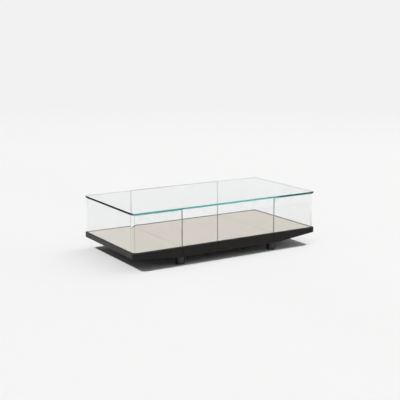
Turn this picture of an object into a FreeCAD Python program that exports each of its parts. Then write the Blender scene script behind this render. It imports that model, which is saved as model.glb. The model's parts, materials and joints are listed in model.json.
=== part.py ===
"""Display table: a fixed glass-topped middle with a pull-out display drawer at each end.

Millimetres, +Z up. The origin is on the floor under the middle of the table,
+X runs along the table to the right-hand drawer and -Y is the front.
"""
import FreeCAD, Part
import os
import re

import Sketcher

doc = FreeCAD.newDocument("display_table")

# ----------------------------------------------------------------- sizes ----

SIZES = [
    ("table_length", 1300, "overall length, along X"),
    ("table_width", 658, "overall width, along Y"),
    ("underside_height", 47, "floor to the flat underside of the base"),
    ("base_thickness", 60, "base, between the two seams"),
    ("end_thickness", 30, "base, at the two tapered ends"),
    ("display_height", 220, "base to the underside of the glass top"),
    ("corner_radius", 22, "plan radius of the four corners of the base"),
    ("seam_gap", 2, "open joint between the middle and a drawer"),
    ("taper_setback", 31, "seam to the start of the tapered underside"),
    ("top_thickness", 10, "glass top"),
    ("top_setback", 5, "glass top, in from the face of the base"),
    ("glass_thickness", 8, "glass walls"),
    ("glass_setback", 6, "glass walls, in from the face of the base"),
    ("glass_bend", 32, "plan radius of a drawer's bent glass, on its outside"),
    ("glass_arris", 1, "ground edge of the glass top"),
    ("lid_clearance", 2, "top of a drawer's glass to the glass top"),
    ("mirror_thickness", 4, "mirror floor"),
    ("mirror_gap", 1, "open joint of the mirror floor at a seam"),
    ("mirror_clearance", 0.5, "mirror floor to the rails around it"),
    ("rail_thickness", 14, "rails and fascias of the base"),
    ("deck_thickness", 12, "panel that carries the mirror floor"),
    ("underpanel_thickness", 5, "panels that close the base from below"),
    ("panel_joint", 0.5, "middle underpanel to the bearers"),
    ("spine_thickness", 18, "cross wall in the middle of the base"),
    ("foot_diameter", 54, "round feet"),
    ("foot_inset", 34, "foot axis, in from the face of the base"),
    ("glide_thickness", 4, "pad under a foot"),
    ("glide_step", 2, "pad edge, in from the foot's edge"),
    ("bearer_width", 56, "flat steel bar across each seam"),
    ("bearer_thickness", 10, "flat steel bar across each seam"),
    ("bearer_housing", 9, "how far a bearer is let into a rail"),
    ("bearer_clearance", 1, "bearer to the drawer that slides over it"),
    ("slide_length", 300, "ball slides, closed"),
    ("slide_height", 27, "ball slides"),
    ("slide_depth", 12.7, "ball slides, rail to arm"),
    ("slide_gauge", 1.2, "sheet of the slide members"),
    ("slide_play", 0.3, "running gap between slide members"),
    ("slide_setback", 3, "slides, back from the seam"),
    ("slide_drop", 3, "slides, below the deck"),
    ("arm_thickness", 5, "steel arm that joins a drawer to its slide"),
    ("arm_reach", 100, "length of an arm inside the drawer"),
    ("flange_gauge", 3, "turned edge of an arm, under the deck"),
    ("catch_depth", 14.2, "magnetic catches, spine to strike plate"),
    ("catch_width", 16, "magnetic catches and their strike plates"),
    ("catch_height", 20, "magnetic catches and their strike plates"),
    ("catch_gap", 0.3, "catch to strike plate"),
    ("strike_thickness", 1.5, "strike plates"),
    ("bolt_diameter", 10, "foot bolts"),
    ("bolt_head_diameter", 16, "foot bolts"),
    ("bolt_head_height", 6, "foot bolts"),
    ("bolt_bite", 28, "foot bolts, length inside the foot"),
    ("screw_diameter", 4, "all screws"),
    ("screw_head_diameter", 7, "all screws"),
    ("screw_head_height", 2, "all screws"),
    ("screw_bite", 10, "screws, length inside wood"),
    ("screw_edge", 6, "first screw from the edge of a bearer"),
    ("bearer_screw_pitch", 12, "screws along the end of a bearer"),
    ("arm_screw_edge", 20, "first screw from the end of an arm's flange"),
    ("slide_screw_edge", 40, "screws from the ends of a slide"),
    ("fastener_fit", 0.1, "radial clearance of a fastener's hole"),
]

sheet = doc.addObject("Spreadsheet::Sheet", "sizes")
for row, (alias, value, note) in enumerate(SIZES, start=1):
    sheet.set(f"A{row}", alias)
    sheet.set(f"B{row}", str(value))
    sheet.set(f"C{row}", note)
    sheet.setAlias(f"B{row}", alias)
doc.recompute()

# Places worked out from the sizes. Along X and Y they are distances from the middle.
# The middle is as long as the spine, a catch and a closed slide need on each side of it.
PLACES = {
    "catch_end": "spine_thickness / 2 + catch_depth",
    "strike_start": "catch_end + catch_gap",
    "slide_start": "strike_start + strike_thickness",
    "slide_end": "slide_start + slide_length",
    "seam_station": "slide_end + slide_setback",
    "half_length": "table_length / 2",
    "half_width": "table_width / 2",
    "base_top": "underside_height + base_thickness",
    "deck_top": "base_top - mirror_thickness",
    "deck_bottom": "deck_top - deck_thickness",
    "lid_bottom": "base_top + display_height",
    "lid_top": "lid_bottom + top_thickness",
    "middle_end": "seam_station - seam_gap / 2",
    "drawer_start": "seam_station + seam_gap / 2",
    "well_end": "half_length - rail_thickness",
    "well_side": "half_width - rail_thickness",
    "taper_start": "seam_station + taper_setback",
    "taper_run": "half_length - taper_start",
    "taper_rise": "base_thickness - end_thickness",
    "glass_end": "half_length - glass_setback",
    "glass_side": "half_width - glass_setback",
    "bearer_start": "seam_station - bearer_width / 2",
    "bearer_end": "seam_station + bearer_width / 2",
    "bearer_side": "well_side + bearer_housing",
    "bearer_top": "underside_height + bearer_thickness",
    "foot_side": "half_width - foot_inset",
    "foot_radius": "foot_diameter / 2",
    "slide_top": "deck_bottom - slide_drop",
    "slide_bottom": "slide_top - slide_height",
    "slide_middle": "slide_top - slide_height / 2",
    "slide_step": "slide_gauge + slide_play",
    "arm_side": "well_side - slide_depth",
    "arm_face": "arm_side - arm_thickness",
    "arm_end": "drawer_start + arm_reach",
}
ALIASES = {alias for alias, value, note in SIZES}
CUT_MARGIN = "1"        # how far a cutting tool stands out of what it cuts
TAPER_OVERSHOOT = "1.2"  # the taper tool runs past the end of the table by this factor
SMALLEST_RADIUS = "1"   # an inside corner is never sharper than this

SIDES = {"left": -1, "right": 1}
FACES = {"front": -1, "rear": 1}
UP = FreeCAD.Vector(0, 0, 1)
DOWN = FreeCAD.Vector(0, 0, -1)


def formula(text):
    """Turn a formula in the names above into one that reads the sheet."""
    def expand(found):
        word = found.group()
        if word in ALIASES:
            return f"sizes.{word}"
        if word in PLACES:
            return f"({formula(PLACES[word])})"
        return word
    return re.sub(r"[a-z_]+", expand, text)


def bind(feature, **formulas):
    for name, text in formulas.items():
        feature.setExpression(name, formula(text))


def place(feature, x, y, z):
    for axis, text in (("x", x), ("y", y), ("z", z)):
        feature.setExpression(f"Placement.Base.{axis}", formula(text))


def signed(side, text):
    """A distance from the middle as a coordinate on one side of it."""
    return text if side > 0 else f"-({text})"


def span(side, near, far):
    """The low and high coordinate of what lies between two distances on one side."""
    return (near, far) if side > 0 else (f"-({far})", f"-({near})")


def both(reach):
    """The low and high coordinate of what reaches equally far on both sides."""
    return (f"-({reach})", reach)


# ----------------------------------------------------------- small tools ----

sub_parts = {}


def sub_part(feature, label, solids=1):
    """Name a finished piece, and note how many solids it has."""
    feature.Label = label
    sub_parts[label] = (feature, solids)
    return feature


def block(x, y, z):
    """A plain box between three pairs of coordinates."""
    box = doc.addObject("Part::Box", "block")
    bind(box, Length=f"{x[1]} - ({x[0]})", Width=f"{y[1]} - ({y[0]})", Height=f"{z[1]} - ({z[0]})")
    place(box, x[0], y[0], z[0])
    return box


def rod(x, y, z, direction, radius, length):
    """A round bar that starts at a point and runs along a direction."""
    bar = doc.addObject("Part::Cylinder", "rod")
    bar.Placement.Rotation = FreeCAD.Rotation(UP, direction)
    bind(bar, Radius=radius, Height=length)
    place(bar, x, y, z)
    return bar


def fuse(*features):
    joined = doc.addObject("Part::MultiFuse", "fuse")
    joined.Shapes = list(features)
    return joined


def group(features):
    together = doc.addObject("Part::Compound", "group")
    together.Links = list(features)
    return together


def cut(base, *tools):
    rest = doc.addObject("Part::Cut", "cut")
    rest.Base = base
    rest.Tool = tools[0] if len(tools) == 1 else fuse(*tools)
    return rest


def overlap(first, second):
    shared = doc.addObject("Part::Common", "overlap")
    shared.Base = first
    shared.Tool = second
    return shared


def outline_pad(plane_role, corners, depth, centred=False):
    """A body padded from a closed outline whose first corner is at its own origin."""
    body = doc.addObject("PartDesign::Body", "body")
    sketch = body.newObject("Sketcher::SketchObject", "outline")
    plane = next(f for f in body.Origin.OriginFeatures if f.Role == plane_role)
    sketch.AttachmentSupport = (plane, [""])
    sketch.MapMode = "FlatFace"
    starts = [FreeCAD.Vector(n * n + n, n, 0) for n in range(len(corners))]
    for n, start in enumerate(starts):
        sketch.addGeometry(Part.LineSegment(start, starts[(n + 1) % len(starts)]), False)
    for n in range(len(corners)):
        sketch.addConstraint(Sketcher.Constraint("Coincident", n, 2, (n + 1) % len(corners), 1))
    for n, (across, along) in enumerate(corners):
        for kind, text, axis, start in (("DistanceX", across, -2, starts[n].x),
                                        ("DistanceY", along, -1, starts[n].y)):
            if text == "0":
                sketch.addConstraint(Sketcher.Constraint("PointOnObject", n, 1, axis))
                continue
            constraint = Sketcher.Constraint(kind, -1, 1, n, 1, start)
            name = f"{kind}_{n}"
            sketch.renameConstraint(sketch.addConstraint(constraint), name)
            sketch.setExpression(f"Constraints.{name}", formula(text))
    pad = body.newObject("PartDesign::Pad", "pad")
    pad.Profile = sketch
    pad.Midplane = centred
    bind(pad, Length=depth)
    doc.recompute()
    return body


def rounded_block(x, y, z, radius, side=0, arris=None):
    """A block with upright corners rounded, at both ends or only at the end on one side."""
    length, width = f"{x[1]} - ({x[0]})", f"{y[1]} - ({y[0]})"
    corners = [("0", "0"), (length, "0"), (length, width), ("0", width)]
    body = outline_pad("XY_Plane", corners, f"{z[1]} - ({z[0]})")
    pad = body.Tip
    middle = pad.Shape.CenterOfMass.x

    def is_corner(edge):
        ends = [vertex.Point for vertex in edge.Vertexes]
        upright = (ends[1] - ends[0]).cross(UP).Length < 1e-6
        return upright and (ends[0].x - middle) * side >= 0

    rounding = body.newObject("PartDesign::Fillet", "corners")
    names = [f"Edge{n}" for n, edge in enumerate(pad.Shape.Edges, start=1) if is_corner(edge)]
    rounding.Base = (pad, names)
    bind(rounding, Radius=f"max({radius}; {SMALLEST_RADIUS})")
    if arris:
        doc.recompute()
        grinding = body.newObject("PartDesign::Chamfer", "arris")
        flat_faces = [face for face in rounding.Shape.Faces if abs(face.normalAt(0, 0).z) > 0.5]
        rims = [edge for face in flat_faces for edge in face.Edges]
        names = [f"Edge{n}" for n, edge in enumerate(rounding.Shape.Edges, start=1)
                 if any(edge.isSame(rim) for rim in rims)]
        grinding.Base = (rounding, names)
        bind(grinding, Size=arris)
    place(body, x[0], y[0], z[0])
    doc.recompute()
    return body


# -------------------------------------------------------------- fasteners ----

def screw(x, y, z, direction, length):
    """A pan head screw whose head sits on a surface and whose shank runs along a direction."""
    shank = rod(x, y, z, direction, "screw_diameter / 2", length)
    head = rod(x, y, z, direction * -1, "screw_head_diameter / 2", "screw_head_height")
    return fuse(shank, head)


def screw_hole(x, y, z, direction, length):
    return rod(x, y, z, direction, "screw_diameter / 2 + fastener_fit", length)


def countersunk(x, y, z, direction, length, fit="0"):
    """A countersunk screw, or its hole, whose flat head is flush with a surface."""
    head = doc.addObject("Part::Cone", "head")
    head.Placement.Rotation = FreeCAD.Rotation(UP, direction)
    bind(head, Radius1=f"screw_head_diameter / 2 + {fit}", Radius2=f"screw_diameter / 2 + {fit}",
         Height="screw_head_height")
    place(head, x, y, z)
    return fuse(head, rod(x, y, z, direction, f"screw_diameter / 2 + {fit}", length))


def foot_bolt(x, y, fit="0"):
    """A foot bolt, or its hole: the head is sunk in the bearer and the shank is in the foot."""
    head = rod(x, y, "bearer_top", DOWN, f"bolt_head_diameter / 2 + {fit}", "bolt_head_height")
    length = f"bearer_thickness + bolt_bite + {fit}"
    return fuse(head, rod(x, y, "bearer_top", DOWN, f"bolt_diameter / 2 + {fit}", length))


# ------------------------------------------------------------ slide sizes ----

def slide_section(face, order):
    """Where the slide member of that order lies in Y and Z: 0 on the rail, 1 between, 2 on the arm."""
    inwards = f"{order} * slide_step"
    ends = ("well_side - slide_depth + 2 * slide_step", "well_side - slide_depth + slide_step",
            "arm_side")
    y = span(face, ends[order], f"well_side - {inwards}")
    z = (f"slide_bottom + {inwards}", f"slide_top - {inwards}")
    return y, z


def slide_member(side, face, order):
    """A channel of folded sheet, open towards the arm, or towards the rail for the last one."""
    x = span(side, "slide_start", "slide_end")
    y, z = slide_section(face, order)
    past_ends = (f"{x[0]} - {CUT_MARGIN}", f"{x[1]} + {CUT_MARGIN}")
    web_is_low = (face < 0) == (order < 2)
    if web_is_low:
        inside = (f"{y[0]} + slide_gauge", f"{y[1]} + {CUT_MARGIN}")
    else:
        inside = (f"{y[0]} - {CUT_MARGIN}", f"{y[1]} - slide_gauge")
    hollow = block(past_ends, inside, (f"{z[0]} + slide_gauge", f"{z[1]} - slide_gauge"))
    return cut(block(x, y, z), hollow)


def slide_screw_places(side):
    return [signed(side, "slide_start + slide_screw_edge"), signed(side, "slide_end - slide_screw_edge")]


# ----------------------------------------------------------- fixed middle ----

def glass_top():
    lid = rounded_block(both("half_length - top_setback"), both("half_width - top_setback"),
                        ("lid_bottom", "lid_top"), "corner_radius - top_setback",
                        arris="glass_arris")
    sub_part(lid, "top_glass")


def bearer_blank(side, clearance="0"):
    """The space of a bearer, or the larger space that a drawer leaves for it."""
    x = span(side, "bearer_start", f"bearer_end + {clearance}")
    top = f"bearer_top + {clearance}"
    return block(x, both(f"bearer_side + {clearance}"), (f"underside_height - {clearance}", top))


def bearer_screws(side, face, fit):
    """Flush screws up through a bearer, beside the foot and over its edge, into the rail."""
    places = ["bearer_start + screw_edge", "bearer_start + screw_edge + bearer_screw_pitch"]
    y = signed(face, "well_side + bearer_housing / 2")
    return [countersunk(signed(side, x), y, "underside_height", UP,
                        "bearer_thickness + screw_bite", fit) for x in places]


def slide_screws(side, face, fit):
    """The screws that hold a slide's first member to the rail."""
    direction = FreeCAD.Vector(0, face, 0)
    return [countersunk(x, signed(face, "well_side - slide_gauge"), "slide_middle", direction,
                        "slide_gauge + screw_bite", fit) for x in slide_screw_places(side)]


def middle_face(face_name, face):
    """A glass pane and the rail that it stands on, at the front or the rear."""
    pane_y = span(face, "glass_side - glass_thickness", "glass_side")
    sub_part(block(both("middle_end"), pane_y, ("base_top", "lid_bottom")), f"{face_name}_pane")
    rail = block(both("middle_end"), span(face, "well_side", "half_width"),
                 ("underside_height", "base_top"))
    for side in SIDES.values():
        holes = [hole for screws in (bearer_screws, slide_screws)
                 for hole in screws(side, face, "fastener_fit")]
        rail = cut(rail, bearer_blank(side), *holes)
    sub_part(rail, f"{face_name}_rail")


def middle_base():
    """The panels that close the base between its rails, and the mirror floor on them."""
    inside = both("well_side")
    floor = block(both("seam_station - mirror_gap / 2"), both("well_side - mirror_clearance"),
                  ("deck_top", "base_top"))
    sub_part(floor, "middle_mirror")
    sub_part(block(both("middle_end"), inside, ("deck_bottom", "deck_top")), "middle_deck")
    panel_top = "underside_height + underpanel_thickness"
    sub_part(block(both("bearer_start - panel_joint"), inside, ("underside_height", panel_top)),
             "middle_underpanel")
    sub_part(block(both("spine_thickness / 2"), inside, (panel_top, "deck_bottom")), "middle_spine")


def bearer(side_name, side):
    """A flat bar across the table, drilled for its foot bolts and its screws into the rails."""
    holes = []
    for face in FACES.values():
        holes.append(foot_bolt(signed(side, "seam_station"), signed(face, "foot_side"),
                               "fastener_fit"))
        holes += bearer_screws(side, face, "fastener_fit")
    sub_part(cut(bearer_blank(side), *holes), f"{side_name}_bearer")


def foot(side_name, side, face_name, face):
    x, y = signed(side, "seam_station"), signed(face, "foot_side")
    post = rod(x, y, "underside_height", DOWN, "foot_radius", "underside_height - glide_thickness")
    hole = foot_bolt(x, y, "fastener_fit")
    sub_part(cut(post, hole), f"{face_name}_{side_name}_foot")
    sub_part(rod(x, y, "glide_thickness", DOWN, "foot_radius - glide_step", "glide_thickness"),
             f"{face_name}_{side_name}_glide")


def first_slide_member(side_name, side, face_name, face):
    holes = slide_screws(side, face, "fastener_fit")
    member = cut(slide_member(side, face, 0), *holes)
    sub_part(member, f"{side_name}_{face_name}_slide_outer")


def catch_block(side, face):
    """A magnetic catch on the spine, opposite the end of an arm."""
    x = span(side, "spine_thickness / 2", "catch_end")
    y = span(face, "arm_side - catch_width", "arm_side")
    return block(x, y, ("slide_middle - catch_height / 2", "slide_middle + catch_height / 2"))


def middle():
    glass_top()
    middle_base()
    for face_name, face in FACES.items():
        middle_face(face_name, face)
    bolts, screws_in_bearers, screws_in_slides, catches = [], [], [], []
    for side_name, side in SIDES.items():
        bearer(side_name, side)
        for face_name, face in FACES.items():
            foot(side_name, side, face_name, face)
            first_slide_member(side_name, side, face_name, face)
            bolts.append(foot_bolt(signed(side, "seam_station"), signed(face, "foot_side")))
            screws_in_bearers += bearer_screws(side, face, "0")
            screws_in_slides += slide_screws(side, face, "0")
            catches.append(catch_block(side, face))
    sub_part(group(bolts), "foot_bolts", len(bolts))
    sub_part(group(screws_in_bearers), "bearer_screws", len(screws_in_bearers))
    sub_part(group(screws_in_slides), "slide_screws", len(screws_in_slides))
    sub_part(group(catches), "magnetic_catches", len(catches))


# ---------------------------------------------------------------- drawers ----

def drawer_well(side, z, clearance="0", start="drawer_start"):
    """The space inside a drawer's fascia, or what fills it with a clearance all round."""
    return rounded_block(span(side, start, f"well_end - {clearance}"),
                         both(f"well_side - {clearance}"), z,
                         f"glass_bend - glass_thickness - {clearance}", side)


def drawer_glass(side_name, side):
    """One sheet of glass bent round the end of a drawer, open towards the middle."""
    z = ("base_top", "lid_bottom - lid_clearance")
    outside = rounded_block(span(side, "drawer_start", "glass_end"), both("glass_side"), z,
                            "glass_bend", side)
    hollow = rounded_block(span(side, f"drawer_start - {CUT_MARGIN}", "glass_end - glass_thickness"),
                           both("glass_side - glass_thickness"),
                           (f"{z[0]} - {CUT_MARGIN}", f"{z[1]} + {CUT_MARGIN}"),
                           "glass_bend - glass_thickness", side)
    sub_part(cut(outside, hollow), f"{side_name}_end_glass")


def on_taper(side, solid):
    """Put a body that was padded from a side view at the start of a drawer's taper."""
    if side < 0:
        solid.Placement.Rotation = FreeCAD.Rotation(UP, 180)
    place(solid, signed(side, "taper_start"), "0", "underside_height")
    return solid


def fascia(side_name, side):
    """The tapered wall round three sides of a drawer's base, housed over the bearer."""
    past_z = (f"underside_height - {CUT_MARGIN}", f"base_top + {CUT_MARGIN}")
    outside = rounded_block(span(side, "drawer_start", "half_length"), both("half_width"),
                            ("underside_height", "base_top"), "corner_radius", side)
    hollow = drawer_well(side, past_z, start=f"drawer_start - {CUT_MARGIN}")
    run, rise = f"taper_run * {TAPER_OVERSHOOT}", f"taper_rise * {TAPER_OVERSHOOT}"
    below = on_taper(side, outline_pad("XZ_Plane", [("0", "0"), (run, "0"), (run, rise)],
                                       f"table_width + 2 * {CUT_MARGIN}", centred=True))
    housing = bearer_blank(side, "bearer_clearance")
    sub_part(cut(cut(outside, hollow), below, housing), f"{side_name}_fascia")


def drawer_underpanel(side_name, side):
    """The sloping panel that closes a drawer's base from below."""
    corners = [("0", "0"), ("taper_run", "taper_rise"),
               ("taper_run", "taper_rise + underpanel_thickness"), ("0", "underpanel_thickness")]
    sheet_of_wood = on_taper(side, outline_pad("XZ_Plane", corners, "2 * well_side", centred=True))
    sub_part(overlap(sheet_of_wood, drawer_well(side, ("underside_height", "base_top"))),
             f"{side_name}_underpanel")


def arm_screws(side, face, make):
    """Two screws up through an arm's flange into the drawer's deck."""
    y = signed(face, "arm_side + slide_depth / 2")
    places = ["drawer_start + arm_screw_edge", "arm_end - arm_screw_edge"]
    return [make(signed(side, x), y, "deck_bottom - flange_gauge", UP, "flange_gauge + screw_bite")
            for x in places]


def runner_screws(side, face, make):
    """Two screws through an arm into the slide member on it."""
    direction = FreeCAD.Vector(0, face, 0)
    return [make(x, signed(face, "arm_face"), "slide_middle", direction,
                 "arm_thickness + slide_gauge") for x in slide_screw_places(side)]


def drawer_deck(side_name, side):
    """The panel under a drawer's mirror floor, and the mirror on it."""
    panel = drawer_well(side, ("deck_bottom", "deck_top"))
    holes = [hole for face in FACES.values() for hole in arm_screws(side, face, screw_hole)]
    sub_part(cut(panel, *holes), f"{side_name}_deck")
    floor = drawer_well(side, ("deck_top", "base_top"), "mirror_clearance",
                        start="seam_station + mirror_gap / 2")
    sub_part(floor, f"{side_name}_mirror")


def arm(side_name, side, face_name, face):
    """A flat bar that runs back into the middle, with a flange screwed under the drawer's deck."""
    inside_drawer = span(side, "drawer_start", "arm_end")
    bar_y = span(face, "arm_face", "arm_side")
    bar = block(span(side, "slide_start", "arm_end"), bar_y, ("slide_bottom", "slide_top"))
    riser = block(inside_drawer, bar_y, ("slide_middle", "deck_bottom"))
    flange = block(inside_drawer, span(face, "arm_face", "well_side"),
                   ("deck_bottom - flange_gauge", "deck_bottom"))
    holes = arm_screws(side, face, screw_hole) + runner_screws(side, face, screw_hole)
    sub_part(cut(fuse(bar, riser, flange), *holes), f"{side_name}_{face_name}_arm")
    member = cut(slide_member(side, face, 2), *runner_screws(side, face, screw_hole))
    sub_part(member, f"{side_name}_{face_name}_slide_inner")


def strike_plate(side, face):
    return block(span(side, "strike_start", "slide_start"),
                 span(face, "arm_side - catch_width", "arm_side"),
                 ("slide_middle - catch_height / 2", "slide_middle + catch_height / 2"))


def drawer(side_name, side):
    drawer_glass(side_name, side)
    fascia(side_name, side)
    drawer_deck(side_name, side)
    drawer_underpanel(side_name, side)
    inner_rail = block(span(side, "drawer_start", "drawer_start + rail_thickness"),
                       both("arm_face"), ("slide_bottom", "deck_bottom"))
    sub_part(inner_rail, f"{side_name}_inner_rail")
    screws_in_deck, screws_in_runners, plates = [], [], []
    for face_name, face in FACES.items():
        arm(side_name, side, face_name, face)
        sub_part(slide_member(side, face, 1), f"{side_name}_{face_name}_slide_middle")
        screws_in_deck += arm_screws(side, face, screw)
        screws_in_runners += runner_screws(side, face, screw)
        plates.append(strike_plate(side, face))
    sub_part(group(screws_in_deck), f"{side_name}_arm_screws", len(screws_in_deck))
    sub_part(group(screws_in_runners), f"{side_name}_runner_screws", len(screws_in_runners))
    sub_part(group(plates), f"{side_name}_strike_plates", len(plates))


# ------------------------------------------------------------------ build ----

middle()
for name, sign in SIDES.items():
    drawer(name, sign)
doc.recompute()

for feature in doc.Objects:
    if "Invalid" in feature.State or "Error" in feature.State:
        raise RuntimeError(f"{feature.Label} failed: {feature.State}")
for label, (feature, solids) in sub_parts.items():
    shape = feature.Shape
    if shape.isNull() or not shape.isValid() or len(shape.Solids) != solids:
        raise RuntimeError(f"{label} is not {solids} sound solid(s)")

os.makedirs("parts", exist_ok=True)
for label, (feature, solids) in sub_parts.items():
    feature.Shape.exportStep(f"parts/{label}.step")
    print(f"{label}: {solids} solid(s), {feature.Shape.Volume / 1000:.1f} cm3")
print(f"{len(sub_parts)} sub-parts")
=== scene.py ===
import json
from math import pi, radians

import bpy
from bpy.props import FloatProperty, FloatVectorProperty, IntProperty, PointerProperty
from mathutils import Matrix, Vector


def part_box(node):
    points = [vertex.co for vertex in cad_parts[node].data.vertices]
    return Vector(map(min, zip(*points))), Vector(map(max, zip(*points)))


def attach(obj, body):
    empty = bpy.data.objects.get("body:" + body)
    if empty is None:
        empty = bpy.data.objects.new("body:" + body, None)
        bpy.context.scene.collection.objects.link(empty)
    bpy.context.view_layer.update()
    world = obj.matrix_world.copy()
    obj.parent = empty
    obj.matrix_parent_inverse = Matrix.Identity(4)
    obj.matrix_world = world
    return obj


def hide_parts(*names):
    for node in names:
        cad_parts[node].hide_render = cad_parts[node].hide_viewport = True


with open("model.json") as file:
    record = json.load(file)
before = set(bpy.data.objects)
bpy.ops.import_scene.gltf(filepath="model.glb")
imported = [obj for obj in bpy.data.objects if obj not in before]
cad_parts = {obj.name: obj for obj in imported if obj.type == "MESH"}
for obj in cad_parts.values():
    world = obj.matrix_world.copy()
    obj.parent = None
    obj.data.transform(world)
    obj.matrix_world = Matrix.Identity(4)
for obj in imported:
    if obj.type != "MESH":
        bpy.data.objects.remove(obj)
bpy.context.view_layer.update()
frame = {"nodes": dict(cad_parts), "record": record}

bl_info = {
    "name": "Glass display table",
    "version": (1, 0, 0),
    "blender": (4, 5, 0),
    "location": "3D View > Sidebar > Display table",
    "description": "Dresses a low glass display table with two pull-out drawers",
    "category": "Add Mesh",
}

# Metres. +X runs along the table to the right-hand drawer, -Y is the front, +Z is up.
SIDES = {"left": -1, "right": 1}
FACES = ("front", "rear")
ROOT = "table"

# Two coordinates that differ by less are the same.
SAME_PLACE = 1e-6
# Faces that turn more than this have an edge between them.
SHARP_TURN = radians(30)
GROUND_STEPS, EASED_STEPS = 2, 3
ROD_FACETS = 96

# The Z of a face's normal tells how it lies. Over LEVEL, without its sign, the face is level;
# between the next two it is an arris of the glass top. The last two are for faces that look up.
LEVEL = 0.5
ARRIS_FROM, ARRIS_TO = 0.15, 0.95
LOOKS_UP, LOOKS_STRAIGHT_UP = 0.2, 0.999

REFRACTION = 1.52
# How far a wall of glass is ground, and takes the painted shade of its ground faces, either way
# from its end.
GROUND_AND_SHADE_REACH = 0.0012
# A wall lets light straight through where it would reflect more than this share.
HELD_SHARE = 0.6
DUST = (0.30, 0.29, 0.27)


# ------------------------------------------------------------ properties ----

def length(name, description, default):
    return FloatProperty(name=name, description=description, default=default, min=0.0,
                         precision=5, unit="LENGTH")


def number(name, description, default):
    return FloatProperty(name=name, description=description, default=default, min=0.0)


def count(name, description, default, least=1):
    return IntProperty(name=name, description=description, default=default, min=least)


def share(name, description, default):
    return FloatProperty(name=name, description=description, default=default, min=0.0, max=1.0)


def colour(name, description, default):
    return FloatVectorProperty(name=name, description=description, default=default, size=3,
                               min=0.0, max=1.0, subtype="COLOR")


class TableSizes(bpy.types.PropertyGroup):
    corner_radius: length("Corner radius", "Plan radius of the base's corners", 0.022)
    top_setback: length("Top setback", "Glass top, in from the face of the base", 0.005)
    glass_bend: length("Glass bend", "Plan radius of the bent glass, on its outside", 0.032)
    glass_thickness: length("Glass thickness", "Glass walls", 0.008)
    rail_thickness: length("Rail thickness", "Wood around the mirror floor", 0.014)
    mirror_clearance: length("Mirror clearance", "Mirror floor to the wood around it", 0.0005)
    taper_start: length("Taper start", "Middle of the table to the tapered underside", 0.359)
    taper_rise: length("Taper rise", "How much thinner the base is at its ends", 0.030)
    housing_clearance: length("Housing clearance", "Drawer fascia to the bearer in it", 0.001)
    bond_depth: length("Bond depth", "How far a glass wall sits into its bond", 0.0002)
    seal_width: length("Seal width", "Seal at the foot of the glass, over the mirror", 0.0016)
    seal_height: length("Seal height", "Seal at the foot of the glass, above the base", 0.0024)
    top_arris: length("Top arris", "Ground edge of the glass top", 0.0009)
    wall_arris: length("Wall arris", "Ground edge of the glass walls", 0.0006)
    mirror_arris: length("Mirror arris", "Ground edge of the mirror floor", 0.0004)
    lacquer_arris: length("Lacquer arris", "Eased edge of the lacquered base", 0.0012)
    foot_arris: length("Foot arris", "Eased edge of the feet", 0.0015)
    corner_steps: count("Corner steps", "Facets in a rounded corner", 20, least=3)


class TableFinishes(bpy.types.PropertyGroup):
    glass_depth: colour("Glass depth", "Colour left in light that runs a long way in the glass",
                        (0.20, 0.84, 0.83))
    top_density: number("Top density", "Absorption per metre of the glass top", 3.4)
    wall_density: number("Wall density", "Absorption per metre of the glass walls", 1.5)
    top_tint: colour("Top tint", "Tint of light that enters or leaves the glass top",
                     (1.0, 0.97, 0.97))
    wall_tint: colour("Wall tint", "Tint of light that enters or leaves a glass wall",
                      (0.970, 0.974, 0.972))
    top_bounces: count("Top bounces", "Reflections inside the glass top before light is spent", 14)
    wall_bounces: count("Wall bounces", "Reflections inside a wall before light is spent", 8)
    passing_light: colour("Passing light", "What glass lets straight through",
                          (0.965, 0.965, 0.965))
    spent_light: colour("Spent light", "What is left of light that is caught in the glass",
                        (0.08, 0.26, 0.23))
    dull_edge: share("Dull edge", "How much of its reflection a polished edge lacks", 0.9)
    # Ground faces are dark green, partly painted shade; from inside the glass they take a darker
    # copy, which is painted shade.
    ground: colour("Ground glass", "Ground edges of the glass", (0.055, 0.105, 0.095))
    ground_inside: colour("Ground glass, inside", "Ground edges seen through the glass",
                          (0.008, 0.020, 0.018))
    mirror: colour("Mirror", "Tint of the mirror floor", (0.785, 0.742, 0.697))
    mirror_grazing: colour("Mirror at an angle", "Tint that stays in a low view of the mirror",
                           (0.92, 0.86, 0.81))
    mirror_edge: colour("Mirror edge", "Ground edge of the mirror floor", (0.030, 0.075, 0.065))
    lacquer: colour("Lacquer", "Charcoal lacquer on the faces of the base",
                    (0.0130, 0.0115, 0.0100))
    # Faces that look up take this matt copy of the lacquer, without reflection and with its own
    # colour: painted shade on the top rim.
    matt_lacquer: colour("Matt lacquer", "Charcoal lacquer on top of the base",
                         (0.0420, 0.0390, 0.0350))
    foot: colour("Foot", "Black lacquer of the feet", (0.0100, 0.0095, 0.0090))
    seal: colour("Seal", "Black seal at the foot of the glass", (0.0080, 0.0080, 0.0080))
    pad: colour("Pad", "Glide pads and catch housings", (0.0120, 0.0120, 0.0125))
    board: colour("Board", "Plywood inside the base", (0.300, 0.200, 0.115))
    black_steel: colour("Black steel", "Powder coated steel", (0.0200, 0.0200, 0.0205))
    zinc: colour("Zinc", "Zinc plated steel", (0.560, 0.565, 0.560))


class TableStudio(bpy.types.PropertyGroup):
    floor: colour("Floor", "Plain pale floor", (0.900, 0.898, 0.896))
    backdrop: colour("Backdrop", "What lies behind and around the floor", (0.885, 0.885, 0.883))
    lamp: number("Lamps", "Strength of the lamp over either end", 2.80)
    lamp_spread: FloatProperty(name="Lamp spread", description="Apparent size of the lamps",
                               default=radians(3), subtype="ANGLE")
    ambient: share("Ambient", "Light that comes from all around", 0.21)
    side_light: number("Side light", "Broad low light from the right", 1.5)
    lens: number("Lens", "Focal length in millimetres", 75.91)


# ------------------------------------------------------------- modelling ----

def deselect_all():
    """Leave edit mode with nothing selected."""
    if bpy.context.mode != "OBJECT":
        bpy.ops.object.mode_set(mode="OBJECT")
    bpy.ops.object.select_all(action="DESELECT")


def make_active(piece):
    deselect_all()
    piece.select_set(True)
    bpy.context.view_layer.objects.active = piece


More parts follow.
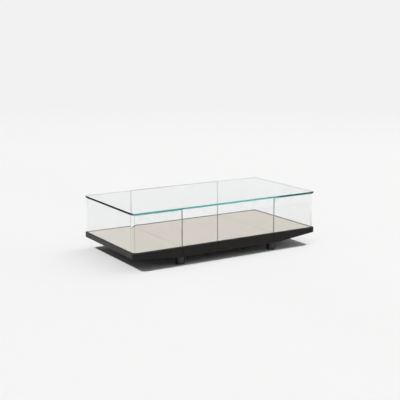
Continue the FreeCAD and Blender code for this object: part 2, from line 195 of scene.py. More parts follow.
def add_box(low, high):
    """A box between two corners, with its place in its mesh."""
    deselect_all()
    low, high = Vector(low), Vector(high)
    bpy.ops.mesh.primitive_cube_add(size=1.0, location=(low + high) / 2, scale=high - low)
    bpy.ops.object.transform_apply(location=True, rotation=True, scale=True)
    return bpy.context.active_object


def add_rod(low, high):
    """An upright round bar that fills a box."""
    deselect_all()
    low, high = Vector(low), Vector(high)
    bpy.ops.mesh.primitive_cylinder_add(vertices=ROD_FACETS, radius=(high.x - low.x) / 2,
                                        depth=high.z - low.z, location=(low + high) / 2)
    bpy.ops.object.transform_apply(location=True, rotation=True, scale=True)
    return bpy.context.active_object


def choose(piece, kind, test):
    """Go into edit mode with just the vertices, edges or faces selected that pass a test."""
    make_active(piece)
    bpy.ops.object.mode_set(mode="EDIT")
    bpy.ops.mesh.select_mode(type=kind)
    bpy.ops.mesh.select_all(action="DESELECT")
    bpy.ops.object.mode_set(mode="OBJECT")
    parts = {"VERT": piece.data.vertices, "EDGE": piece.data.edges, "FACE": piece.data.polygons}
    for part in parts[kind]:
        part.select = test(part)
    bpy.ops.object.mode_set(mode="EDIT")


def leave_edit():
    """Go back to object mode after choose."""
    bpy.ops.object.mode_set(mode="OBJECT")


def round_upright_edges(piece, radius, steps, side=0):
    """Round the upright edges of a box, at both ends or only at the end on one side."""
    places = piece.data.vertices
    furthest = max(abs(vertex.co.x) for vertex in places)

    def is_corner(edge):
        first, second = (places[n].co for n in edge.vertices)
        upright = (first.xy - second.xy).length < SAME_PLACE
        return upright and (side == 0 or first.x * side > furthest - SAME_PLACE)

    choose(piece, "EDGE", is_corner)
    bpy.ops.mesh.bevel(offset=radius, offset_type="OFFSET", segments=steps, profile=0.5,
                       affect="EDGES")
    leave_edit()


def apply_modifier(piece, kind, **settings):
    """Add a modifier with its settings and apply it."""
    make_active(piece)
    bpy.ops.object.modifier_add(type=kind)
    modifier = piece.modifiers[-1]
    for name, value in settings.items():
        setattr(modifier, name, value)
    bpy.ops.object.modifier_apply(modifier=modifier.name)


def cut_away(piece, tool):
    """Cut the shape of a tool out of a piece. The tool is used up."""
    apply_modifier(piece, "BOOLEAN", operation="DIFFERENCE", object=tool, solver="EXACT")
    bpy.data.objects.remove(tool)


def ease_edges(piece, width, steps=EASED_STEPS):
    """Take the sharp edges off a piece, with flat faces that still shade flat."""
    make_active(piece)
    bpy.ops.object.shade_smooth()
    apply_modifier(piece, "BEVEL", width=width, segments=steps, limit_method="ANGLE",
                   angle_limit=SHARP_TURN, harden_normals=True, miter_outer="MITER_ARC")


def wall_of_box(piece, side, thickness):
    """Keep the wall round the closed end of a box, as a sheet of a thickness inwards."""
    open_end = min(vertex.co.x * side for vertex in piece.data.vertices)
    choose(piece, "FACE", lambda face: abs(face.normal.z) > LEVEL
           or face.center.x * side < open_end + SAME_PLACE)
    bpy.ops.mesh.delete(type="FACE")
    leave_edit()
    apply_modifier(piece, "SOLIDIFY", thickness=thickness, offset=-1.0, use_even_offset=True,
                   use_quality_normals=True)


def shrink(low, high, x=0.0, y=0.0, z=0.0):
    """The corners of a box, moved inwards."""
    margin = Vector((x, y, z))
    return Vector(low) + margin, Vector(high) - margin


def copy_of(piece, shift=(0.0, 0.0, 0.0), turned=False):
    """A copy with its own mesh, moved along or turned half round the middle of the table."""
    make_active(piece)
    bpy.ops.object.duplicate(linked=False)
    copy = bpy.context.active_object
    choose(copy, "FACE", lambda face: True)
    if turned:
        bpy.ops.transform.rotate(value=pi, orient_axis="Z", center_override=(0.0, 0.0, 0.0))
    bpy.ops.transform.translate(value=shift)
    leave_edit()
    return copy


def turned_pair(names, piece):
    """A piece and its copy turned half round the middle of the table, each with a name."""
    return zip(names, (piece, copy_of(piece, turned=True)))


def dress(piece, name, body, nodes, materials):
    """Name a piece, give it its materials, and let it ride in place of its CAD nodes."""
    piece.name = name
    piece.data.name = name
    piece.data.materials.clear()
    for material in materials:
        piece.data.materials.append(material)
    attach(piece, body)
    if nodes:
        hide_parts(*nodes)


def second_material(piece, least_z):
    """Faces whose normal has more than a given Z take the piece's second material."""
    for face in piece.data.polygons:
        face.material_index = 1 if face.normal.z > least_z else 0


# ----------------------------------------------------------- shader nodes ----

def add_node(tree, kind, inputs=None, **settings):
    """Add a shader node; an input is given a value, or a socket to link from."""
    made = tree.nodes.new(kind)
    for name, value in settings.items():
        setattr(made, name, value)
    for name, value in (inputs or {}).items():
        socket = made.inputs[name]
        if isinstance(value, bpy.types.NodeSocket):
            tree.links.new(value, socket)
        else:
            socket.default_value = value
    return made


def compute(tree, operation, *values):
    """One step of arithmetic on numbers and sockets."""
    return add_node(tree, "ShaderNodeMath", dict(enumerate(values)),
                    operation=operation).outputs[0]


def combine(tree, operation, *vectors):
    """One step of arithmetic on vectors. A length and a dot product are numbers."""
    made = add_node(tree, "ShaderNodeVectorMath", dict(enumerate(vectors)), operation=operation)
    return made.outputs["Value" if operation in ("LENGTH", "DOT_PRODUCT") else "Vector"]


def separate(tree, vector):
    return add_node(tree, "ShaderNodeSeparateXYZ", {0: vector}).outputs


def remap(tree, value, low, high, to_low=0.0, to_high=1.0, kind="SMOOTHSTEP"):
    """A number that goes from one end to the other while a value goes from low to high."""
    return add_node(tree, "ShaderNodeMapRange",
                    {"Value": value, "From Min": low, "From Max": high, "To Min": to_low,
                     "To Max": to_high}, interpolation_type=kind).outputs["Result"]


def noise(tree, vector, scale, detail, roughness, distortion=0.0):
    return add_node(tree, "ShaderNodeTexNoise",
                    {"Vector": vector, "Scale": scale, "Detail": detail,
                     "Roughness": roughness, "Distortion": distortion}).outputs["Fac"]


def bump(tree, height, strength, distance=0.0002):
    """A normal that follows a height."""
    return add_node(tree, "ShaderNodeBump",
                    {"Strength": strength, "Distance": distance, "Height": height}).outputs[0]


def solid_colour(values):
    return (*values, 1.0)


def blend(tree, factor, first, second):
    """The first colour where a factor is 0, the second where it is 1."""
    return add_node(tree, "ShaderNodeMix", {"Factor": factor, 6: first, 7: second},
                    data_type="RGBA").outputs[2]


def tinted(tree, values, mask, factor):
    """A colour that a mask pulls towards a lighter or darker version of itself."""
    other = [min(1.0, value * factor) for value in values]
    return blend(tree, mask, solid_colour(values), solid_colour(other))


def either(tree, factor, first, second):
    """The first shader where a factor is 0, the second where it is 1."""
    return add_node(tree, "ShaderNodeMixShader", {0: factor, 1: first, 2: second}).outputs[0]


def principled(tree, inputs):
    return add_node(tree, "ShaderNodeBsdfPrincipled", inputs).outputs[0]


def coat(tree, inputs):
    """What a material's output takes when one Principled shader does it all."""
    return {"Surface": principled(tree, inputs)}


# ------------------------------------------------------------ node groups ----

def new_group(name, outputs, **inputs):
    """An empty node group: a vector and some numbers go in, and numbers come out."""
    tree = bpy.data.node_groups.new(name, "ShaderNodeTree")
    tree.interface.new_socket("Vector", in_out="INPUT", socket_type="NodeSocketVector")
    for key, default in inputs.items():
        socket = tree.interface.new_socket(key, in_out="INPUT", socket_type="NodeSocketFloat")
        socket.default_value = default
    for key in outputs:
        tree.interface.new_socket(key, in_out="OUTPUT", socket_type="NodeSocketFloat")
    return tree, tree.nodes.new("NodeGroupInput").outputs, tree.nodes.new("NodeGroupOutput")


def give(tree, result, **values):
    """Link a group's results to its outputs."""
    for key, socket in values.items():
        tree.links.new(socket, result.inputs[key])
    return tree


def use_group(tree, make, **inputs):
    """Place a shared node group in a material, with this material's own values."""
    name = make.__name__
    return add_node(tree, "ShaderNodeGroup",
                    {key.capitalize(): value for key, value in inputs.items()},
                    node_tree=bpy.data.node_groups.get(name) or make(name)).outputs


def smudges(name):
    """A roughness that drifts between two values, in soft patches with finer marks in them."""
    tree, given, result = new_group(name, ("Roughness", "Mask"), Scale=3.0, Low=0.2, High=0.3)
    patches = noise(tree, given["Vector"], given["Scale"], detail=5.0, roughness=0.62,
                    distortion=0.4)
    mask = remap(tree, patches, 0.35, 0.68)
    spread = remap(tree, mask, 0.0, 1.0, given["Low"], given["High"], kind="LINEAR")
    return give(tree, result, Roughness=spread, Mask=mask)


def fine_grain(name):
    """The height of a sprayed or moulded skin: small soft bumps over finer ones."""
    finer, depth = 3.7, 0.35
    tree, given, result = new_group(name, ("Height", "Speckle"), Scale=400.0)
    coarse = noise(tree, given["Vector"], given["Scale"], detail=2.0, roughness=0.5)
    fine = add_node(tree, "ShaderNodeTexVoronoi",
                    {"Vector": given["Vector"],
                     "Scale": compute(tree, "MULTIPLY", given["Scale"], finer)},
                    feature="SMOOTH_F1").outputs["Distance"]
    height = compute(tree, "MULTIPLY_ADD", fine, depth, coarse)
    return give(tree, result, Height=height, Speckle=fine)


def draw_lines(name):
    """Fine lines along X, as rolling, drawing or sanding leaves them."""
    tree, given, result = new_group(name, ("Height",), Along=6.0, Across=900.0)
    stretch = add_node(tree, "ShaderNodeCombineXYZ",
                       {"X": given["Along"], "Y": given["Across"], "Z": given["Across"]})
    stretched = combine(tree, "MULTIPLY", given["Vector"], stretch.outputs[0])
    return give(tree, result, Height=noise(tree, stretched, 1.0, detail=3.0, roughness=0.6))


def settled_dust(name):
    """How much dust lies on a surface: patchy, and only where it faces up."""
    tree, given, result = new_group(name, ("Mask",), Amount=0.1)
    normal = add_node(tree, "ShaderNodeNewGeometry").outputs["Normal"]
    facing = remap(tree, separate(tree, normal)["Z"], 0.3, 0.95)
    patches = noise(tree, given["Vector"], 35.0, detail=8.0, roughness=0.7)
    patchy = compute(tree, "MULTIPLY", facing, patches)
    return give(tree, result, Mask=compute(tree, "MULTIPLY", patchy, given["Amount"]))


# -------------------------------------------------------------- materials ----

def material_of(name, make, *values):
    """A material that several pieces share, made when it is first asked for."""
    if name in bpy.data.materials:
        return bpy.data.materials[name]
    material = bpy.data.materials.new(name)
    material.use_nodes = True
    tree = material.node_tree
    tree.nodes.clear()
    output = tree.nodes.new("ShaderNodeOutputMaterial").inputs
    place = add_node(tree, "ShaderNodeTexCoord").outputs["Object"]
    for key, socket in make(tree, place, *values).items():
        tree.links.new(socket, output[key])
    return material


def glass(tree, place, finishes, density, bounces, tint, wall_end=None):
    """Clear glass that colours only light that runs a long way inside it.

    Light caught between the faces is nearly spent after a number of bounces. A wall is ground
    along its top and at its ends, which are at a distance from the middle of the table; the
    glass top has a ground arris all round. The ground faces are dark green, partly painted
    shade, and from inside the glass they take a darker copy that is painted shade."""
    geometry = add_node(tree, "ShaderNodeNewGeometry").outputs
    steepness = compute(tree, "ABSOLUTE", separate(tree, geometry["True Normal"])["Z"])
    path = add_node(tree, "ShaderNodeLightPath").outputs
    wiped = use_group(tree, smudges, vector=place, scale=6.0, low=0.0, high=0.012)
    shader = principled(tree, {"Base Color": solid_colour(tint), "Roughness": wiped["Roughness"],
                               "IOR": REFRACTION, "Transmission Weight": 1.0})

    # Light goes straight on where it only passes through on its way to something else.
    straight_on = compute(tree, "MAXIMUM", path["Is Shadow Ray"], path["Is Diffuse Ray"])
    if wall_end is None:
        # A polished edge looks into the room's dark sides and hardly reflects.
        upright = compute(tree, "LESS_THAN", steepness, LEVEL)
        outside = compute(tree, "SUBTRACT", 1.0, geometry["Backfacing"])
        dull = compute(tree, "MULTIPLY", compute(tree, "MULTIPLY", upright, outside),
                       finishes.dull_edge)
        clear_edge = add_node(tree, "ShaderNodeBsdfRefraction",
                              {"Roughness": 0.0, "IOR": REFRACTION}).outputs[0]
        shader = either(tree, dull, shader, clear_edge)
        # The top's ground arris takes the same painted shade as the ground faces of the walls.
        ground_and_shade_mask = compute(tree, "MULTIPLY",
                            compute(tree, "GREATER_THAN", steepness, ARRIS_FROM),
                            compute(tree, "LESS_THAN", steepness, ARRIS_TO))
    else:
        level_outside = compute(tree, "SUBTRACT",
                                compute(tree, "GREATER_THAN", steepness, LEVEL),
                                geometry["Backfacing"])
        from_end = compute(tree, "SUBTRACT",
                           compute(tree, "ABSOLUTE", separate(tree, place)["X"]), wall_end)
        at_end = compute(tree, "LESS_THAN", compute(tree, "ABSOLUTE", from_end), GROUND_AND_SHADE_REACH)
        ground_and_shade_mask = compute(tree, "MAXIMUM", level_outside, at_end)
        # A wall lets go of light that its faces would hold.
        reflects = add_node(tree, "ShaderNodeFresnel", {"IOR": REFRACTION}).outputs[0]
        straight_on = compute(tree, "MAXIMUM", straight_on,
                              compute(tree, "GREATER_THAN", reflects, HELD_SHARE))

    # Ground faces: a dark green that is partly painted shade, and from inside the glass a darker
    # copy that is painted shade.
    misted_and_shaded, dark = (add_node(tree, "ShaderNodeBsdfDiffuse",
                             {"Color": solid_colour(values)}).outputs[0]
                    for values in (finishes.ground, finishes.ground_inside))
    passing, spent = (add_node(tree, "ShaderNodeBsdfTransparent",
                               {"Color": solid_colour(values)}).outputs[0]
                      for values in (finishes.passing_light, finishes.spent_light))
    caught = compute(tree, "GREATER_THAN", path["Glossy Depth"], bounces)
    shader = either(tree, ground_and_shade_mask, shader, either(tree, geometry["Backfacing"], misted_and_shaded, dark))
    shader = either(tree, straight_on, shader, passing)
    shader = either(tree, caught, shader, spent)
    depth = add_node(tree, "ShaderNodeVolumeAbsorption",
                     {"Color": solid_colour(finishes.glass_depth), "Density": density})
    return {"Surface": shader, "Volume": depth.outputs[0]}


def mirror_face(tree, place, finishes):
    """Silvered glass with a faint bronze cast and barely visible wiping marks."""
    wiped = use_group(tree, smudges, vector=place, scale=4.0, low=0.008, high=0.022)
    return coat(tree, {
        "Base Color": tinted(tree, finishes.mirror, wiped["Mask"], factor=0.985),
        "Metallic": 1.0, "Roughness": wiped["Roughness"],
        "Specular Tint": solid_colour(finishes.mirror_grazing)})


def mirror_edge(tree, place, finishes):
    """The ground edge of the mirror sheet, dark green where light is lost in it."""
    lines = use_group(tree, draw_lines, vector=place, along=40.0, across=1500.0)
    return coat(tree, {
        "Base Color": tinted(tree, finishes.mirror_edge, lines["Height"], factor=1.6),
        "Roughness": 0.25, "Normal": bump(tree, lines["Height"], strength=0.1)})


def lacquer(tree, place, values, roughness, gloss, dust=0.10):
    """Sprayed lacquer: faint orange peel, softly uneven sheen and, if any, a trace of dust."""
    skin = use_group(tree, fine_grain, vector=place, scale=420.0)
    sheen = use_group(tree, smudges, vector=place, scale=5.0, low=roughness - 0.03,
                      high=roughness + 0.05)
    dusty = use_group(tree, settled_dust, vector=place, amount=dust)
    clean = tinted(tree, values, sheen["Mask"], factor=1.18)
    return coat(tree, {
        "Base Color": blend(tree, dusty["Mask"], clean, solid_colour(DUST)),
        "Roughness": sheen["Roughness"], "Normal": bump(tree, skin["Height"], strength=0.12),
        "IOR": 1.5, "Specular IOR Level": gloss})


def moulded(tree, place, values, roughness=0.55):
    """Moulded plastic or rubber with a fine matt texture."""
    skin = use_group(tree, fine_grain, vector=place, scale=1400.0)
    return coat(tree, {
        "Base Color": tinted(tree, values, skin["Speckle"], factor=1.5),
        "Roughness": roughness, "Normal": bump(tree, skin["Height"], strength=0.3)})


def powder_coat(tree, place, values):
    """Powder coated steel: a fine even texture and a low sheen."""
    skin = use_group(tree, fine_grain, vector=place, scale=900.0)
    sheen = use_group(tree, smudges, vector=place, scale=9.0, low=0.42, high=0.52)
    return coat(tree, {
        "Base Color": tinted(tree, values, skin["Speckle"], factor=1.4),
        "Roughness": sheen["Roughness"],
        "Normal": bump(tree, skin["Height"], strength=0.35, distance=0.0003)})


def plated_steel(tree, place, values):
    """Zinc plated rolled steel with drawn lines along the table."""
    lines = use_group(tree, draw_lines, vector=place, along=8.0, across=700.0)
    sheen = use_group(tree, smudges, vector=place, scale=14.0, low=0.24, high=0.38)
    return coat(tree, {
        "Base Color": tinted(tree, values, lines["Height"], factor=0.86),
        "Metallic": 1.0, "Roughness": sheen["Roughness"],
        "Normal": bump(tree, lines["Height"], strength=0.15)})


def plywood(tree, place, values, ply=0.0016, darker=0.55):
    """Birch plywood: long grain on the faces and stacked plies on the edges."""
    grain = use_group(tree, draw_lines, vector=place, along=7.0, across=130.0)
    layer = compute(tree, "FLOORED_MODULO", separate(tree, place)["Z"], 2 * ply)
    odd_ply = compute(tree, "LESS_THAN", layer, ply)
    normal = add_node(tree, "ShaderNodeNewGeometry").outputs["Normal"]
    facing_up = compute(tree, "ABSOLUTE", separate(tree, normal)["Z"])
    on_edge = compute(tree, "LESS_THAN", facing_up, LEVEL)
    dark_ply = compute(tree, "MULTIPLY", odd_ply, on_edge)
    wood = tinted(tree, values, grain["Height"], factor=0.62)
    end_grain = solid_colour([value * darker for value in values])
    return coat(tree, {
        "Base Color": blend(tree, dark_ply, wood, end_grain), "Roughness": 0.5,
        "Normal": bump(tree, grain["Height"], strength=0.2, distance=0.0003)})


def top_glass(finishes):
    return material_of("top_float_glass", glass, finishes, finishes.top_density,
                       finishes.top_bounces, finishes.top_tint)


def wall_glass(finishes, name, wall_end):
    return material_of(name, glass, finishes, finishes.wall_density, finishes.wall_bounces,
                       finishes.wall_tint, wall_end)


def mirror_materials(finishes):
    return [material_of("mirror_edge", mirror_edge, finishes),
            material_of("mirror_face", mirror_face, finishes)]


def base_materials(finishes):
    """Lacquer of the base: satin on its faces, and on top of it a matt copy without reflection
    and with its own colour, which is painted shade on the top rim.
    """
    return [material_of("satin_charcoal", lacquer, finishes.lacquer, 0.30, 0.17),
            material_of("matt_charcoal_painted_shade", lacquer, finishes.matt_lacquer, 0.60, 0.0)]


# -------------------------------------------------------------- operators ----

class PieceOperator:
    """What every operator that makes pieces shares."""
    bl_options = {"REGISTER", "UNDO"}

    def execute(self, context):
        scene = context.scene
        self.make(scene.table_sizes, scene.table_finishes)
        return {"FINISHED"}


class TABLE_OT_glass_top(PieceOperator, bpy.types.Operator):
    """One sheet of glass with rounded corners and a ground edge"""
    bl_idname = "display_table.glass_top"
    bl_label = "Glass top"

    def make(self, sizes, finishes):
        sheet = add_box(*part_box("top_glass"))
        round_upright_edges(sheet, sizes.corner_radius - sizes.top_setback, sizes.corner_steps)
        ease_edges(sheet, sizes.top_arris, GROUND_STEPS)
        dress(sheet, "glass_top", ROOT, ["top_glass"], [top_glass(finishes)])


class TABLE_OT_panes(PieceOperator, bpy.types.Operator):
    """The two flat panes of the fixed middle"""
    bl_idname = "display_table.panes"
    bl_label = "Flat panes"

    def make(self, sizes, finishes):
        low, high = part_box("front_pane")
        front = add_box(*shrink(low, high, z=-sizes.bond_depth))
        ease_edges(front, sizes.wall_arris, GROUND_STEPS)
        skin = wall_glass(finishes, "pane_float_glass", high[0])
        for face, pane in turned_pair(FACES, front):
            dress(pane, f"{face}_window", ROOT, [f"{face}_pane"], [skin])


class TABLE_OT_bent_glasses(PieceOperator, bpy.types.Operator):
    """The bent glass round the end of each drawer"""
    bl_idname = "display_table.bent_glasses"
    bl_label = "Bent glasses"

    def make(self, sizes, finishes):
        low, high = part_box("left_end_glass")
        left = add_box(Vector(low) - Vector((0.0, 0.0, sizes.bond_depth)), high)
        round_upright_edges(left, sizes.glass_bend, sizes.corner_steps, SIDES["left"])
        wall_of_box(left, SIDES["left"], sizes.glass_thickness)
        ease_edges(left, sizes.wall_arris, GROUND_STEPS)
        skin = wall_glass(finishes, "bent_float_glass", abs(high[0]))
        for side, wall in turned_pair(SIDES, left):
            dress(wall, f"{side}_bent_glass", f"{side}_drawer",
                  [f"{side}_end_glass"], [skin])


class TABLE_OT_seals(PieceOperator, bpy.types.Operator):
    """The thin black seal along the foot of each glass wall, on the mirror side"""
    bl_idname = "display_table.seals"
    bl_label = "Seals"

    def make(self, sizes, finishes):
        black = material_of("black_seal", moulded, finishes.seal, 0.45)
        for names, make_seal in ((FACES, self.straight), (SIDES, self.bent)):
            seal = make_seal(sizes)
            ease_edges(seal, sizes.seal_width / 3)
            for place, piece in turned_pair(names, seal):
                body = f"{place}_drawer" if place in SIDES else ROOT
                dress(piece, f"{place}_seal", body, [], [black])

    def straight(self, sizes):
        low, high = (Vector(corner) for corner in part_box("front_pane"))
        return add_box((low.x, high.y, low.z),
                       (high.x, high.y + sizes.seal_width, low.z + sizes.seal_height))

    def bent(self, sizes):
        low, high = (Vector(corner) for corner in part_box("left_end_glass"))
        inwards = sizes.glass_thickness
        left = add_box(low + Vector((inwards, inwards, 0.0)),
                       (high.x, high.y - inwards, low.z + sizes.seal_height))
        round_upright_edges(left, sizes.glass_bend - inwards, sizes.corner_steps, SIDES["left"])
        wall_of_box(left, SIDES["left"], sizes.seal_width)
        return left


class TABLE_OT_mirror_floor(PieceOperator, bpy.types.Operator):
    """The three sheets of the mirror floor"""
    bl_idname = "display_table.mirror_floor"
    bl_label = "Mirror floor"

    def make(self, sizes, finishes):
        middle = add_box(*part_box("middle_mirror"))
        left = add_box(*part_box("left_mirror"))
        radius = sizes.glass_bend - sizes.glass_thickness - sizes.mirror_clearance
        round_upright_edges(left, radius, sizes.corner_steps, SIDES["left"])
        for sheet in (middle, left):
            ease_edges(sheet, sizes.mirror_arris, GROUND_STEPS)
        for place, sheet in (("middle", middle), *turned_pair(SIDES, left)):
            body = f"{place}_drawer" if place in SIDES else ROOT
            dress(sheet, f"{place}_mirror_sheet", body, [f"{place}_mirror"],
                  mirror_materials(finishes))
            second_material(sheet, LOOKS_STRAIGHT_UP)


class TABLE_OT_middle_rails(PieceOperator, bpy.types.Operator):
    """The lacquered rails along the fixed middle, housed over the bearers"""
    bl_idname = "display_table.middle_rails"
    bl_label = "Middle rails"

    def make(self, sizes, finishes):
        front = add_box(*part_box("front_rail"))
        for side in SIDES:
            cut_away(front, add_box(*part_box(f"{side}_bearer")))
        ease_edges(front, sizes.lacquer_arris)
        for face, rail in turned_pair(FACES, front):
            dress(rail, f"{face}_middle_rail", ROOT, [f"{face}_rail"],
                  base_materials(finishes))
            # Faces that look up take the matt copy: painted shade on the top rim.
            second_material(rail, LOOKS_UP)


class TABLE_OT_fascias(PieceOperator, bpy.types.Operator):
    """The tapered fascia round three sides of each drawer"""
    bl_idname = "display_table.fascias"
    bl_label = "Drawer fascias"

    def make(self, sizes, finishes):
        low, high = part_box("left_fascia")
        left = add_box(low, high)
        self.taper(left, sizes)
        round_upright_edges(left, sizes.corner_radius, sizes.corner_steps, SIDES["left"])
        cut_away(left, self.well(low, high, sizes))
        gap = sizes.housing_clearance
        cut_away(left, add_box(*shrink(*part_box("left_bearer"), -gap, -gap, -gap)))
        ease_edges(left, sizes.lacquer_arris)
        for side, wall in turned_pair(SIDES, left):
            dress(wall, f"{side}_tapered_fascia", f"{side}_drawer",
                  [f"{side}_fascia"], base_materials(finishes))
            # Faces that look up take the matt copy: painted shade on the top rim.
            second_material(wall, LOOKS_UP)

    def taper(self, wall, sizes):
        """Split the box at the start of the taper and lift the underside at its end."""
        choose(wall, "FACE", lambda face: True)
        bpy.ops.mesh.bisect(plane_co=(SIDES["left"] * sizes.taper_start, 0, 0),
                            plane_no=(1, 0, 0))
        leave_edit()
        end = max(abs(vertex.co.x) for vertex in wall.data.vertices)
        bottom = min(vertex.co.z for vertex in wall.data.vertices)
        choose(wall, "VERT", lambda vertex: abs(vertex.co.x) > end - SAME_PLACE
               and vertex.co.z < bottom + SAME_PLACE)
        bpy.ops.transform.translate(value=(0, 0, sizes.taper_rise))
        leave_edit()

    def well(self, low, high, sizes):
        """The room for the deck and the mirror, open to the middle, above and below."""
        past = sizes.rail_thickness
        well_low, well_high = shrink(low, high, past, past, -past)
        well = add_box(well_low, (high[0] + past, well_high.y, well_high.z))
        round_upright_edges(well, sizes.glass_bend - sizes.glass_thickness,
                            sizes.corner_steps, SIDES["left"])
        return well


class TABLE_OT_feet(PieceOperator, bpy.types.Operator):
    """The round feet and the glide pads under them"""
    bl_idname = "display_table.feet"
    bl_label = "Feet"

    def make(self, sizes, finishes):
        black = material_of("black_lacquer", lacquer, finishes.foot, 0.34, 0.5, 0.0)
        pad_skin = material_of("black_moulding", moulded, finishes.pad)
        first_foot = add_rod(*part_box("front_left_foot"))
        ease_edges(first_foot, sizes.foot_arris)
        first_pad = add_rod(*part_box("front_left_glide"))
        ease_edges(first_pad, sizes.foot_arris / 2)
        start = Vector(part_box("front_left_foot")[0])
        for face in FACES:
            for side in SIDES:
                place = f"{face}_{side}"
                shift = Vector(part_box(f"{place}_foot")[0]) - start
                foot, pad = first_foot, first_pad
                if shift.length > 0:
                    foot, pad = copy_of(first_foot, shift), copy_of(first_pad, shift)
                dress(foot, f"{place}_post", ROOT, [f"{place}_foot"], [black])
                dress(pad, f"{place}_pad", ROOT, [f"{place}_glide"], [pad_skin])


def paint(node, material):
    """Give a CAD node a material, and leave its shape alone."""
    for slot in frame["nodes"][node].material_slots:
        slot.material = material


class TABLE_OT_inner_panels(PieceOperator, bpy.types.Operator):
    """Boards and panels inside and under the base"""
    bl_idname = "display_table.inner_panels"
    bl_label = "Inner panels"

    def make(self, sizes, finishes):
        board = material_of("birch_plywood", plywood, finishes.board)
        for node in ("middle_deck", "middle_spine", "left_deck", "right_deck",
                     "left_inner_rail", "right_inner_rail"):
            paint(node, board)
        for place in ("middle", *SIDES):
            paint(f"{place}_underpanel", base_materials(finishes)[0])


class TABLE_OT_hardware(PieceOperator, bpy.types.Operator):
    """Bearers, arms, slides, catches and fasteners"""
    bl_idname = "display_table.hardware"
    bl_label = "Hardware"

    def make(self, sizes, finishes):
        by_slot = {
            "black_steel": material_of("black_powder_coat", powder_coat, finishes.black_steel),
            "plated_steel": material_of("zinc_plate", plated_steel, finishes.zinc),
            "catch_plastic": material_of("black_moulding", moulded, finishes.pad),
        }
        for subpart in frame["record"]["subparts"]:
            if subpart["material_slot"] in by_slot:
                paint(subpart["node"], by_slot[subpart["material_slot"]])


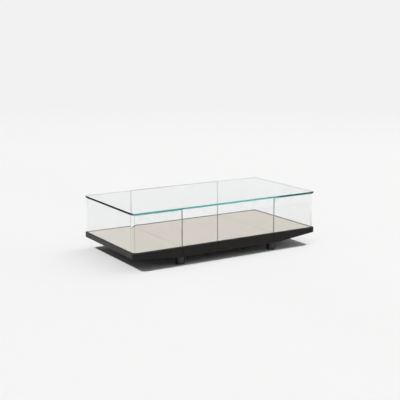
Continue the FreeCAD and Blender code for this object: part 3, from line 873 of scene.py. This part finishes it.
class TABLE_OT_stage(bpy.types.Operator):
    """Pale floor, soft light and the camera"""
    bl_idname = "display_table.stage"
    bl_label = "Stage"
    bl_options = {"REGISTER", "UNDO"}

    CAMERA_PLACE = (-2.734, -4.396, 1.318)
    CAMERA_TURN = radians(31.81)
    CAMERA_DIP = radians(11.18)
    SENSOR_WIDTH, CLIP_END = 36.0, 200.0

    LAMP_LEAN, LAMP_BEHIND, LAMP_DISTANCE = 0.73, 0.10, 4.0
    FLAG_HEIGHT, FLAG_WIDTH, FLAG_LENGTH = 20.0, 13.0, 60.0

    FLOOR_RADIUS, FLOOR_FACETS = 60.0, 128
    FADE_START, FADE_END = 4.0, 11.0

    # The room turns from dark to light between two cosines of the angle to its lit side. Only
    # light that has bounced often sees that.
    LIT_SIDE = Vector((0.527, 0.850, 0.0))
    TURNS_FROM, TURNS_TO = 0.55, 0.85
    DARKEST = 0.72
    DEEP_BOUNCES = 3.5
    # Where the side light starts and is full, along X, and how low it comes.
    SIDE_FROM, SIDE_TO, SIDE_FLOOR = 0.55, 0.85, 0.13

    # Light that enters an edge of the glass bounces many times before it leaves.
    GLASS_BOUNCES, CLEAR_BOUNCES = 96, 64

    def execute(self, context):
        scene = context.scene
        studio = scene.table_studio
        self.make_floor(studio)
        self.make_world(scene, studio)
        for side_name, side in SIDES.items():
            self.make_lamp(side_name, side, studio)
            self.make_flag(side_name, side)
        self.make_camera(scene, studio)
        scene.view_settings.view_transform = "Standard"
        scene.cycles.max_bounces = self.GLASS_BOUNCES
        scene.cycles.transmission_bounces = self.GLASS_BOUNCES
        scene.cycles.glossy_bounces = self.GLASS_BOUNCES
        scene.cycles.transparent_max_bounces = self.CLEAR_BOUNCES
        return {"FINISHED"}

    def make_floor(self, studio):
        deselect_all()
        bpy.ops.mesh.primitive_circle_add(vertices=self.FLOOR_FACETS, radius=self.FLOOR_RADIUS,
                                          fill_type="NGON", location=(0, 0, 0))
        floor = bpy.context.active_object
        floor.name = "studio_floor"
        floor.data.materials.append(material_of("studio_floor", self.floor_surface, studio))

    def floor_surface(self, tree, place, studio):
        """A pale matt floor that turns into the backdrop as it runs away from the table."""
        fade = remap(tree, combine(tree, "LENGTH", place), self.FADE_START, self.FADE_END)
        near = principled(tree, {"Base Color": solid_colour(studio.floor), "Roughness": 0.9,
                                 "Specular IOR Level": 0.1})
        far = add_node(tree, "ShaderNodeEmission", {"Color": solid_colour(studio.backdrop)})
        unlit = add_node(tree, "ShaderNodeEmission", {"Strength": 0.0})
        seen = either(tree, fade, near, far.outputs[0])
        return {"Surface": either(tree, self.unlit_side(tree, place), seen, unlit.outputs[0])}

    def unlit_side(self, tree, direction):
        """How dark the room is for light that has run through the glass edge to edge.

        The studio is lit behind the table, so only such light finds the darker sides."""
        level = combine(tree, "MULTIPLY", direction, (1.0, 1.0, 0.0))
        towards = combine(tree, "DOT_PRODUCT", combine(tree, "NORMALIZE", level), self.LIT_SIDE)
        away = remap(tree, towards, self.TURNS_FROM, self.TURNS_TO, self.DARKEST, 0.0)
        path = add_node(tree, "ShaderNodeLightPath").outputs
        deep = compute(tree, "GREATER_THAN", path["Glossy Depth"], self.DEEP_BOUNCES)
        return compute(tree, "MULTIPLY", away, deep)

    def make_world(self, scene, studio):
        """The backdrop as the camera, gloss and glass see it, and a weaker light from all round."""
        world = bpy.data.worlds.new("studio_backdrop")
        world.use_nodes = True
        tree = world.node_tree
        tree.nodes.clear()
        path = add_node(tree, "ShaderNodeLightPath").outputs
        seen = compute(tree, "MAXIMUM", path["Is Transmission Ray"],
                       compute(tree, "MAXIMUM", path["Is Camera Ray"], path["Is Glossy Ray"]))
        direction = add_node(tree, "ShaderNodeTexCoord").outputs["Generated"]
        around = separate(tree, direction)
        from_right = remap(tree, around["X"], self.SIDE_FROM, self.SIDE_TO, 0.0,
                           studio.side_light)
        above = compute(tree, "GREATER_THAN", around["Z"], self.SIDE_FLOOR)
        ambient = compute(tree, "MULTIPLY_ADD", from_right, above, studio.ambient)
        strength = remap(tree, seen, 0.0, 1.0, ambient, 1.0, kind="LINEAR")
        lit = compute(tree, "SUBTRACT", 1.0, self.unlit_side(tree, direction))
        background = add_node(tree, "ShaderNodeBackground",
                              {"Color": solid_colour(studio.backdrop),
                               "Strength": compute(tree, "MULTIPLY", strength, lit)})
        output = tree.nodes.new("ShaderNodeOutputWorld")
        tree.links.new(background.outputs[0], output.inputs["Surface"])
        scene.world = world

    def make_lamp(self, side_name, side, studio):
        """A far lamp that leans over its own end of the table."""
        deselect_all()
        direction = Vector((side * self.LAMP_LEAN, self.LAMP_BEHIND, 1.0)).normalized()
        bpy.ops.object.light_add(type="SUN", location=direction * self.LAMP_DISTANCE,
                                 rotation=direction.to_track_quat("Z", "Y").to_euler())
        lamp = bpy.context.active_object
        lamp.name = f"{side_name}_lamp"
        lamp.data.energy = studio.lamp
        lamp.data.angle = studio.lamp_spread

    def make_flag(self, side_name, side):
        """A high card that keeps a lamp off the other end, so the two together light evenly.

        Only shadow rays meet it."""
        deselect_all()
        edge = side * self.LAMP_LEAN * self.FLAG_HEIGHT
        centre = (edge - side * self.FLAG_WIDTH / 2, self.LAMP_BEHIND * self.FLAG_HEIGHT,
                  self.FLAG_HEIGHT)
        bpy.ops.mesh.primitive_plane_add(size=1.0, location=centre)
        flag = bpy.context.active_object
        flag.name = f"{side_name}_flag"
        flag.scale = (self.FLAG_WIDTH, self.FLAG_LENGTH, 1.0)
        flag.visible_camera = flag.visible_diffuse = flag.visible_glossy = False
        flag.visible_transmission = flag.visible_volume_scatter = False

    def make_camera(self, scene, studio):
        turn = (Matrix.Rotation(-self.CAMERA_TURN, 4, "Z")
                @ Matrix.Rotation(radians(90) - self.CAMERA_DIP, 4, "X"))
        deselect_all()
        bpy.ops.object.camera_add(location=self.CAMERA_PLACE, rotation=turn.to_euler())
        camera = bpy.context.active_object
        camera.name = "table_camera"
        camera.data.sensor_width = self.SENSOR_WIDTH
        camera.data.lens = studio.lens
        camera.data.clip_end = self.CLIP_END
        camera.data.dof.use_dof = False
        scene.camera = camera


# In the order in which they run.
OPERATORS = (
    TABLE_OT_stage,
    TABLE_OT_middle_rails,
    TABLE_OT_fascias,
    TABLE_OT_feet,
    TABLE_OT_inner_panels,
    TABLE_OT_hardware,
    TABLE_OT_mirror_floor,
    TABLE_OT_panes,
    TABLE_OT_bent_glasses,
    TABLE_OT_seals,
    TABLE_OT_glass_top,
)


class TABLE_PT_panel(bpy.types.Panel):
    """Makes the table's pieces and lists its sizes and finishes"""
    bl_idname = "TABLE_PT_panel"
    bl_label = "Display table"
    bl_space_type = "VIEW_3D"
    bl_region_type = "UI"
    bl_category = "Display table"

    def draw(self, context):
        layout = self.layout
        for operator in OPERATORS:
            layout.operator(operator.bl_idname)
        for settings in (context.scene.table_sizes, context.scene.table_finishes,
                         context.scene.table_studio):
            box = layout.box()
            for name in settings.__annotations__:
                box.prop(settings, name)


CLASSES = (TableSizes, TableFinishes, TableStudio, *OPERATORS, TABLE_PT_panel)


def register():
    for made in CLASSES:
        bpy.utils.register_class(made)
    bpy.types.Scene.table_sizes = PointerProperty(type=TableSizes)
    bpy.types.Scene.table_finishes = PointerProperty(type=TableFinishes)
    bpy.types.Scene.table_studio = PointerProperty(type=TableStudio)


def unregister():
    del bpy.types.Scene.table_studio
    del bpy.types.Scene.table_finishes
    del bpy.types.Scene.table_sizes
    for made in reversed(CLASSES):
        bpy.utils.unregister_class(made)


def main():
    register()
    bpy.ops.display_table.stage()
    bpy.ops.display_table.middle_rails()
    bpy.ops.display_table.fascias()
    bpy.ops.display_table.feet()
    bpy.ops.display_table.inner_panels()
    bpy.ops.display_table.hardware()
    bpy.ops.display_table.mirror_floor()
    bpy.ops.display_table.panes()
    bpy.ops.display_table.bent_glasses()
    bpy.ops.display_table.seals()
    bpy.ops.display_table.glass_top()


if __name__ == "__main__":
    main()
